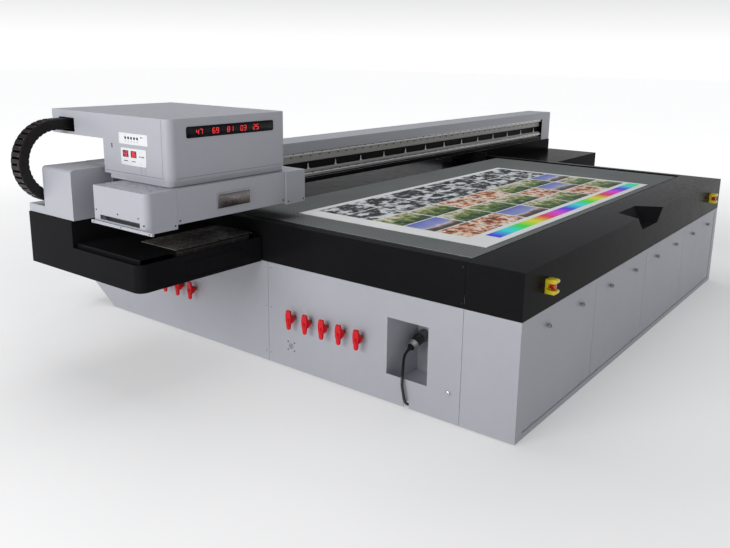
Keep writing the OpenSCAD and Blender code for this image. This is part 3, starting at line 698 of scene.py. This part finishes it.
def catmull(points, n):
    """A smooth curve through the points, with n steps to each span."""
    pts = [Vector(p) for p in points]
    out = []
    for i in range(len(pts) - 1):
        a, b, c, d = pts[max(i - 1, 0)], pts[i], pts[i + 1], pts[min(i + 2, len(pts) - 1)]
        for k in range(n):
            t = k / n
            out.append(0.5 * (2 * b + (c - a) * t + (2 * a - 5 * b + 4 * c - d) * t * t
                              + (3 * b - a - 3 * c + d) * t ** 3))
    out.append(pts[-1])
    return out


def cord_line():
    """The whole centre line: over the sill, in at the notch, round the coil and out to the plug."""
    line = catmull(ROUTE, 2)
    # the coil's turns as (radius, height), the first ones on the floor and the rest on top of them
    turns = [(115.0, 9.0), (100.0, 9.0), (85.0, 9.0), (85.0, 23.6), (100.0, 23.6), (115.0, 23.6)]
    # wound clockwise, from the rear of the coil until it points along the lead to the plug
    span = 360.0 * len(turns) + 15.0
    steps = 16 * len(turns) + 1
    for k in range(steps + 1):
        turned = span * k / steps
        place = min(turned / 360.0, len(turns) - 0.001)
        i = int(place)
        j = min(len(turns) - 1, i + 1)
        # each turn keeps its own radius, and moves to the next one over its last sixth
        s = max(0.0, (place - i - 0.83) / 0.17)
        s = s * s * (3 - 2 * s)
        r = turns[i][0] * (1 - s) + turns[j][0] * s
        z = turns[i][1] * (1 - s) + turns[j][1] * s
        t = math.radians(90.0 - turned)
        line.append(COIL + Vector((r * math.cos(t), r * math.sin(t), z)))
    line += catmull(LEAD_OUT, 2)
    return line


def tube(name, line, r, material, body, slot, replaces, sides):
    """A round bar of radius r along the line."""
    shape = Shape()
    rings = []
    side = None
    for i, p in enumerate(line):
        t = (line[min(i + 1, len(line) - 1)] - line[max(i - 1, 0)]).normalized()
        if side is None:
            side = t.cross(Vector((0, 0, 1))).normalized()
        side = (side - t * side.dot(t)).normalized()
        other = t.cross(side)
        rings.append(shape.ring(p, side, other, r, sides))
    for lower, upper_ in zip(rings, rings[1:]):
        for k in range(sides):
            j = (k + 1) % sides
            shape.bm.faces.new((lower[k], lower[j], upper_[j], upper_[k]))
    shape.bm.faces.new(rings[0][::-1])
    shape.bm.faces.new(rings[-1])
    return shape.finish(name, material, body, slot, replaces, 60)


centre = cord_line()
cord = tube("mains_cord_run", centre, CORD_R, rubber_black, "base", "cord_black",
            ["mains_cord", "cord_coil"], 12)

PLUG_TILT = math.radians(18)
PLUG_AXIS = Vector((-math.cos(PLUG_TILT), 0, -math.sin(PLUG_TILT)))
PLUG_START = Vector((255, 690, 280))


def plug_shape():
    """The connector on the inlet, along its own tilted axis, with its tapered boot."""
    profile = [(24, 9), (30, 10), (30, 24), (28, 26), (28, 54), (24, 57), (20, 58), (20, 92), (13, 93)]
    for k in range(4):
        h = 94 + k * 5
        r = 12.4 - k * 0.9
        profile += [(r, h), (r, h + 3), (r - 1.4, h + 3.5), (r - 1.4, h + 4.8)]
    profile += [(8.6, 114.3), (8.0, 115)]
    shape = Shape()
    shape.lathe(PLUG_START, PLUG_AXIS, profile, 32)
    return shape


def gland_shape():
    """The ribbed clamping nut behind the connector's body."""
    profile = [(19.8, 58)]
    for k in range(4):
        h = 59 + k * 8
        r = (29, 26, 23.5, 21)[k]
        profile += [(r - 2.5, h), (r, h + 1.5), (r, h + 5), (r - 2.5, h + 6.5)]
    profile += [(16, 91.5), (12.8, 92)]
    shape = Shape()
    shape.lathe(PLUG_START, PLUG_AXIS, profile, 28)
    return shape


plug = plug_shape().finish("mains_connector", plastic_black, "base", "grey_plastic", ["cord_plug"])
gland = gland_shape().finish("connector_gland", steel, "base", "grey_plastic")


def wall_plug_shape():
    """The plug at the far end: a turned body with an open collar, and four pins in it."""
    shape = Shape()
    shape.lathe((380, 547, 30), (1, 0, 0),
                [(8, 0), (12, 1), (13, 8), (11.5, 9), (11.5, 13), (14, 14), (15, 22), (16, 32), (22, 34), (26, 40),
                 (27, 52), (25.5, 56), (25.5, 92), (27, 96), (27, 100), (30, 101), (30, 138), (28.5, 140),
                 (26, 140), (26, 118), (0, 118)], 36)
    for k in range(4):
        a = math.radians(90 * k + 45)
        shape.lathe((498, 547 + 15 * math.cos(a), 30 + 15 * math.sin(a)), (1, 0, 0),
                    [(3.4, 0), (3.4, 19), (2.2, 21), (0, 21)], 12)
    return shape


wall = wall_plug_shape().finish("wall_plug_body", red_plastic, "base", "plug_red", ["wall_plug"])


# ---------------------------------------------------------------- valve handles
VALVES = [884 + 117 * i for i in range(5)] + [2174 + 117 * i for i in range(3)]
VALVE_Z = 308
BLADE = [(-12, 54), (12, 54), (16, 46), (18, 30), (20.5, 14), (19, 0), (14, -14), (12, -26), (12, -46), (9, -54),
         (3, -57), (-6, -57), (-11, -53), (-13, -44), (-13, -26), (-15, -12), (-20, 0), (-20.5, 14), (-18, 30),
         (-16, 46)]
HUB = [(0, 0), (25.5, 0), (26, 3), (25.5, 10), (22, 20), (17, 24), (15, 27), (15, 31.5), (13.5, 32.5),
       (11.6, 32.5), (11.6, 28), (0, 28)]
NUT = [(0, 0), (9.5, 0), (9.5, 0.8), (8, 1.2), (8, 5.4), (7, 6.2), (4, 6.2), (3.6, 8), (0, 8)]
for k, y in enumerate(VALVES):
    handle = f"valve_handle_{k + 1}"
    shape = Shape()
    shape.prism(BLADE, (-54, y, VALVE_Z), (0, 1, 0), (0, 0, 1), 13, 2.6, 3)
    # a raised rib on the lever, and the hub behind it
    rib = [(p * 0.45, q * 0.62 - 16) for p, q in rounded(30, 54, 12)]
    shape.prism(rib, (-56.5, y, VALVE_Z), (0, 1, 0), (0, 0, 1), 4, 1.2, 2)
    shape.lathe((-41, y, VALVE_Z), (1, 0, 0), HUB, 28)
    shape.finish(f"valve_lever_{k + 1}", red_handle, handle, "handle_red", [handle])
    nut = Shape()
    nut.lathe((-54, y, VALVE_Z), (-1, 0, 0), NUT, 6)
    nut.finish(f"valve_nut_{k + 1}", red_handle, handle, "fitting_metal")

# ---------------------------------------------------------------- emergency stops
STOPS, STOP_Z = (238, 3132), 709
HORNS = [(0, -35), (0, 35), (-44, 35), (-50, 32.5), (-52, 28), (-52, 21), (-49, 17), (-44, 15.5), (-13, 15.5),
         (-8.5, 13), (-6.5, 9), (-6.5, -9), (-8.5, -13), (-13, -15.5), (-44, -15.5), (-49, -17), (-52, -21),
         (-52, -28), (-50, -32.5), (-44, -35)]
NECK_RING = [(11.8, -0.2), (15, -0.2), (15, 5), (14, 6), (12.2, 6), (11.8, 5.5)]
MUSHROOM = [(0, 7.8), (10.6, 7.8), (11, 8.2), (11, 16.2), (12, 17), (13.8, 17.4), (14.5, 19), (14.5, 31),
            (13.6, 33.2), (11, 34.6), (6, 35.2), (0, 35.2)]
for k, x in enumerate(STOPS):
    guard = Shape()
    # two horns over and under the button, with a ring round its neck
    guard.prism(HORNS, (x - 24, 0, STOP_Z), (0, 1, 0), (0, 0, 1), 48, 1.6, 2)
    guard.lathe((x, -6, STOP_Z), (0, -1, 0), NECK_RING, 30, True)
    guard.finish(f"stop_guard_{k + 1}", yellow_plastic, "base", "guard_yellow", ["stop_guards"] if k == 0 else ())
    button = Shape()
    button.lathe((x, -8.8, STOP_Z), (0, -1, 0), MUSHROOM, 36)
    # three short raised bars on the face, where turning arrows are
    for a in (90, 210, 330):
        c, s = math.cos(math.radians(a)), math.sin(math.radians(a))
        d = Vector((-s, 0, c))
        p = Vector((x + 7.5 * c, -43.6, STOP_Z + 7.5 * s))
        hexa(button, [p + d * along + Vector((c, 0, s)) * across + Vector((0, depth, 0)) for depth in (-0.7, 1.2)
                      for along, across in ((-2.4, -0.9), (-2.4, 0.9), (2.4, 0.9), (2.4, -0.9))], 0.3)
    head = f"stop_button_{k + 1}"
    button.finish(f"stop_head_{k + 1}", red_plastic, head, "button_red", [head])

# ---------------------------------------------------------------- edge of the table, seams of the upper cover
edge = Shape()
edge.block((93.4, 312, 806), (96.6, 1902, 812.6), 0.5)
edge.block((96.6, 310.6, 806), (3325, 312.4, 812.4), 0.4)
edge.finish("table_edge", steel, "base", "table_grey")
seams = Shape()
seams.block((-592, 1570.5, 1124), (139, 1571.3, 1126), 0.2)
seams.block((-632.5, 1613, 1124), (-631.8, 2092, 1126), 0.2)
seams.block((-632.5, 1621, 1126), (-631.8, 1622.6, 1409), 0.2)
for y in (1786, 1752):
    seams.block((-632.4, y, 1126), (-631.8, y + 1.4, 1166), 0.2)
seams.finish("cover_seams", seam_paint, "carriage", "light_panel")

# ---------------------------------------------------------------- knobs of the front doors
DOORS_START, DOOR_WIDTH = 70, 820
KNOB_Z, KNOB_OFFSET = 503, 202
KNOB = [(8, -0.5), (8, 4.2), (7, 5), (6, 5.4), (6, 9.6), (10.8, 10.2), (12, 11.4), (12, 18), (11, 19.6), (8, 20),
        (0, 20)]
for door in range(4):
    middle = DOORS_START + DOOR_WIDTH * (door + 0.5)
    knobs = Shape()
    for x in (middle - KNOB_OFFSET, middle + KNOB_OFFSET):
        knobs.lathe((x, 2, KNOB_Z), (0, -1, 0), KNOB, 28)
    knobs.finish(f"door_knobs_{door + 1}", plastic_black, f"front_door_{door + 1}", "cord_black")


# ---------------------------------------------------------------- screws, lock and vent on the left side
def screw_head(shape, place, axis, r, height):
    """A pan head with a round recess."""
    shape.lathe(place, axis, [(r, -0.4), (r, height * 0.35), (r * 0.86, height * 0.78), (r * 0.55, height),
                              (r * 0.3, height), (r * 0.22, height * 0.45), (0, height * 0.4)], 18)


VENT_Y, VENT_Z = 1377, 133
VENT_RING = [(16, -0.5), (16, 1.3), (15.2, 2), (13.6, 2), (12.8, 1.0), (0, 1.0)]
LOCK = [(13, -0.5), (13, 4), (12, 6), (9, 7.6), (7.5, 8.2), (6.5, 7.2), (0, 7.2)]
fittings = Shape()
fittings.lathe((0, VENT_Y, VENT_Z), (-1, 0, 0), VENT_RING, 32)
for z in (60, 330, 560):
    for y in (1530, 1570):
        screw_head(fittings, (0, y, z), (-1, 0, 0), 4.5, 2.4)
fittings.finish("side_screws", screw_metal, "base", "fitting_metal", ["side_fittings"])
lock = Shape()
lock.lathe((0, 359, 153), (-1, 0, 0), LOCK, 28)
lock.block((-8.6, 357.8, 148), (-7.0, 360.2, 158), 0.4)
lock.lathe((0, 2865, 40), (-1, 0, 0), [(6, -0.5), (6, 2), (4, 3), (0, 3)], 16)
lock.finish("side_lock", steel, "base", "fitting_metal")
# four dark screws round the vent, and two at the front end of each side band
band_screws = Shape()
for dy in (-24, 24):
    for dz in (-24, 24):
        screw_head(band_screws, (0, VENT_Y + dy, VENT_Z + dz), (-1, 0, 0), 4, 2)
for z in (616, 790):
    for x, side in ((0, -1), (3420, 1)):
        screw_head(band_screws, (x, 306, z), (side, 0, 0), 4.5, 2.4)
band_screws.finish("band_screws", dark_screw, "base", "fitting_metal")

# ---------------------------------------------------------------- bridge: bolts, rails, pale strips and tabs
PROUD_BOLT = [(5.2, -1), (5.2, 3.6), (4.6, 4.3), (2.6, 4.3), (2.4, 2.4), (0, 2.4)]
SUNK_BOLT = [(4.2, -1), (4.2, 0.15), (3.8, 0.4), (2.2, 0.4), (2.0, -0.6), (0, -0.6)]
BOLTS_START, BOLT_PITCH = -450, 100
bolts = Shape()
for y, z, profile in ((2163, 1030, PROUD_BOLT), (2140, 1056, SUNK_BOLT), (2140, 915, SUNK_BOLT)):
    for i in range(53):
        bolts.lathe((BOLTS_START + i * BOLT_PITCH, y, z), (0, -1, 0), profile, 8)
bolts.finish("rail_bolts", dark_screw, "bridge", "rail_steel")

rails = Shape()
RAIL = [(0, 0), (22, 0), (22, 20), (0, 20), (0, 14.5), (2.2, 12.6), (2.2, 7.4), (0, 5.5)]
for z in (1046, 905):
    rails.prism([(2140 + p, z + q) for p, q in RAIL], (-540, 0, 0), (0, 1, 0), (0, 0, 1), 5300, 0.5, 1)
rails.finish("rail_profiles", steel, "bridge", "rail_steel")

strips = Shape()
for z0, z1 in ((996, 1068), (885, 937)):
    strips.block((-550, 2162.5, z0), (4755, 2174.5, z1), 0.8)
# a thin white flange under the upper strip
strips.block((-550, 2158.5, 993), (4755, 2163, 996.5), 0.5)
strips.finish("rail_strips", strip_paint, "bridge", "rail_strip", ["x_rails"])

# a black strip along the lower edge of the beam's cover
skirt = Shape()
skirt.block((-558, 2128.8, 851), (4758, 2131, 883), 0.5)
skirt.finish("beam_skirt", black_paint, "bridge", "rail_steel")

tabs = Shape()
TAB = [(0, 0), (34, 0), (34, 4), (24, 5), (19, 11), (16, 38), (13, 42), (10, 38), (8, 9), (0, 4)]
TABS_START, TAB_PITCH = -489, 300
for i in range(18):
    tabs.prism(TAB, (TABS_START + i * TAB_PITCH, 2163.6, 938), (1, 0, 0), (0, 0, 1), 2, 0.5, 1)
tabs.finish("rail_tabs", white_plastic, "bridge", "rail_strip")

# ---------------------------------------------------------------- carriage
window = Shape()
window.prism(rounded(598, 56, 9), (-224, 1571.2, 1344), (1, 0, 0), (0, 0, 1), 2.4, 0.9, 2)
glass = Nodes("display_glass")
glass.set(Roughness=0.12, Specular_IOR_Level=0.08)
glass.colour(glass.noise(30, 2), [(0.3, (0.006, 0.006, 0.008)), (0.7, (0.012, 0.012, 0.015))])
window.finish("front_window", glass.mat, "carriage", "display_black", ["front_display"])

digit_glow = Nodes("digit_glow")
digit_glow.set(Roughness=0.4)
digit_glow.glow((1.0, 0.03, 0.03), 0.75)
digit_glow.colour(digit_glow.noise(90, 2), [(0.3, (0.5, 0.015, 0.015)), (0.7, (0.7, 0.021, 0.021))])
# each segment's middle in shares of the digit's width and height, and whether it lies flat
SEGMENTS = {"a": (0.5, 1.0, 1), "b": (1.0, 0.75, 0), "c": (1.0, 0.25, 0), "d": (0.5, 0.0, 1),
            "e": (0.0, 0.25, 0), "f": (0.0, 0.75, 0), "g": (0.5, 0.5, 1)}
DIGITS = ["abcdef", "bc", "abged", "abgcd", "fgbc", "afgcd", "afgedc", "abc", "abcdefg", "abcdfg"]


def digit(shape, number, origin, u, v, out, w, h):
    """One seven-segment digit, of thin flat bars."""
    origin, u, v, out = (Vector(q) for q in (origin, u, v, out))
    t = h * 0.13
    for s in DIGITS[number]:
        px, py, flat = SEGMENTS[s]
        c = origin + u * (px * w) + v * (py * h)
        a, b = (w * 0.42, t / 2) if flat else (t / 2, h * 0.21)
        pts = [c + u * i + v * j + out * d for d in (0.0, 0.5) for i, j in ((-a, -b), (-a, b), (a, b), (a, -b))]
        hexa(shape, pts, 0)


digits = Shape()
for k, x in enumerate((-462, -356, -258, -166, -76)):
    for j in range(2):
        digit(digits, (2 * k + j * 3 + 4) % 10, (x + j * 23, 1568.9, 1331), (1, 0, 0), (0.06, 0, 1), (0, -1, 0),
              15, 25)
digits.finish("front_digits", digit_glow.mat, "carriage", "display_black")

# left faces of the upper cover and of the plates on it, in X
COVER_FACE, PLATE_FACE = -632, -633.6
panels = Shape()
panels.prism(rounded(230, 56, 5), (COVER_FACE, 1843, 1300), (0, -1, 0), (0, 0, 1), 1.8, 0.7, 2)
panels.prism(rounded(203, 86, 5), (COVER_FACE, 1845.5, 1210), (0, -1, 0), (0, 0, 1), 1.8, 0.7, 2)
panels.finish("control_plates", white_plastic, "carriage", "control_white", ["side_controls"])
keys = Shape()
for k in range(5):
    y = 1904 - k * 24
    keys.lathe((PLATE_FACE, y, 1304), (-1, 0, 0), [(7.4, -0.3), (7.4, 0.9), (6.4, 1.5), (0, 1.6)], 20)
    keys.block((-634.2, y - 5, 1286.5), (-633.5, y + 5, 1288.5), 0.2)
for y in (1768, 1780):
    keys.lathe((PLATE_FACE, y, 1312), (-1, 0, 0), [(3.2, -0.3), (3.2, 0.7), (0, 0.8)], 14)
for y in (1795, 1783, 1771, 1763):
    keys.lathe((PLATE_FACE, y, 1216), (-1, 0, 0), [(3.4, -0.3), (3.4, 0.8), (0, 0.9)], 14)
for y in (1908, 1843):
    keys.block((-634.2, y - 16, 1186.5), (-633.5, y + 16, 1190), 0.2)
for z in (1250, 1262):
    keys.lathe((COVER_FACE, 2023, z), (-1, 0, 0),
               [(5.2, -0.3), (5.2, 1.0), (4, 1.4), (2.6, 1.4), (2.2, 0.2), (0, 0.2)], 16)
keys.finish("control_keys", plastic_black, "carriage", "display_black")
windows = Shape()
for y in (1908, 1843):
    windows.prism(rounded(46, 34, 2.5), (PLATE_FACE, y, 1224), (0, -1, 0), (0, 0, 1), 1.2, 0.4, 1)
dark_red = Nodes("display_red")
dark_red.set(Roughness=0.2)
dark_red.glow((1.0, 0.02, 0.05), 0.04)
dark_red.colour(dark_red.noise(60, 2), [(0.3, (0.10, 0.0, 0.02)), (0.7, (0.15, 0.0, 0.03))])
windows.finish("control_windows", dark_red.mat, "carriage", "display_black")
small = Shape()
for y, pair in ((1908, (4, 2)), (1843, (3, 6))):
    for j, number in enumerate(pair):
        digit(small, number, (-634.8, y + 15 - j * 18, 1213), (0, -1, 0), (0, -0.05, 1), (-1, 0, 0), 11, 21)
small.finish("control_digits", digit_glow.mat, "carriage", "display_black")

plate = Shape()
plate.prism(rounded(228, 76, 7), (-255, 1535.2, 987), (1, 0, 0), (0, 0, 1), 2.6, 0.8, 2)
sheen = Nodes("name_plate_metal")
sheen.set(Metallic=0.85)
# brighter and warmer a little above half way up the plate: a painted reflection across it
_, _, height = sheen.axes()
lines = sheen.math("MULTIPLY", sheen.noise(40, 4, (1, 1, 12)), 0.2)
sheen.colour(sheen.math("ADD", sheen.range(height, 0.95, 1.025), lines),
             [(0.15, (0.10, 0.09, 0.09)), (0.6, (0.26, 0.215, 0.21)), (1.0, (0.15, 0.15, 0.16))])
sheen.roughness(sheen.noise(50, 3), 0.24, 0.36)
plate.finish("name_plate", sheen.mat, "carriage", "fitting_metal")
rim = Shape()
outer, inner = rounded(232, 80, 8), rounded(224, 72, 6)
for (a, b), (c, d) in zip(zip(outer, outer[1:] + outer[:1]), zip(inner, inner[1:] + inner[:1])):
    pts = []
    for depth in (1535.4, 1531.8):
        pts += [Vector((-255 + q[0], depth, 987 + q[1])) for q in (a, c, d, b)]
    hexa(rim, pts, 0)
bmesh.ops.remove_doubles(rim.bm, verts=rim.bm.verts, dist=0.01)
rim.finish("name_plate_rim", steel, "carriage", "fitting_metal")

carriage_screws = Shape()
for x, y, z in ((-636, 1538, 906), (-606, 1538, 926), (114, 1538, 926), (145, 1526, 916), (268, 1526, 916)):
    screw_head(carriage_screws, (x, y, z), (0, -1, 0), 4.6, 2.4)
for y, z in ((1600, 960), (1760, 958), (1560, 930), (1935, 960)):
    screw_head(carriage_screws, (-802, y, z), (-1, 0, 0), 4.0, 2.2)
for y in (1500, 1720, 1940):
    screw_head(carriage_screws, (-816, y, 900.5), (-1, 0, 0), 3.6, 2.0)
carriage_screws.finish("carriage_screws", dark_screw, "carriage", "fitting_metal")
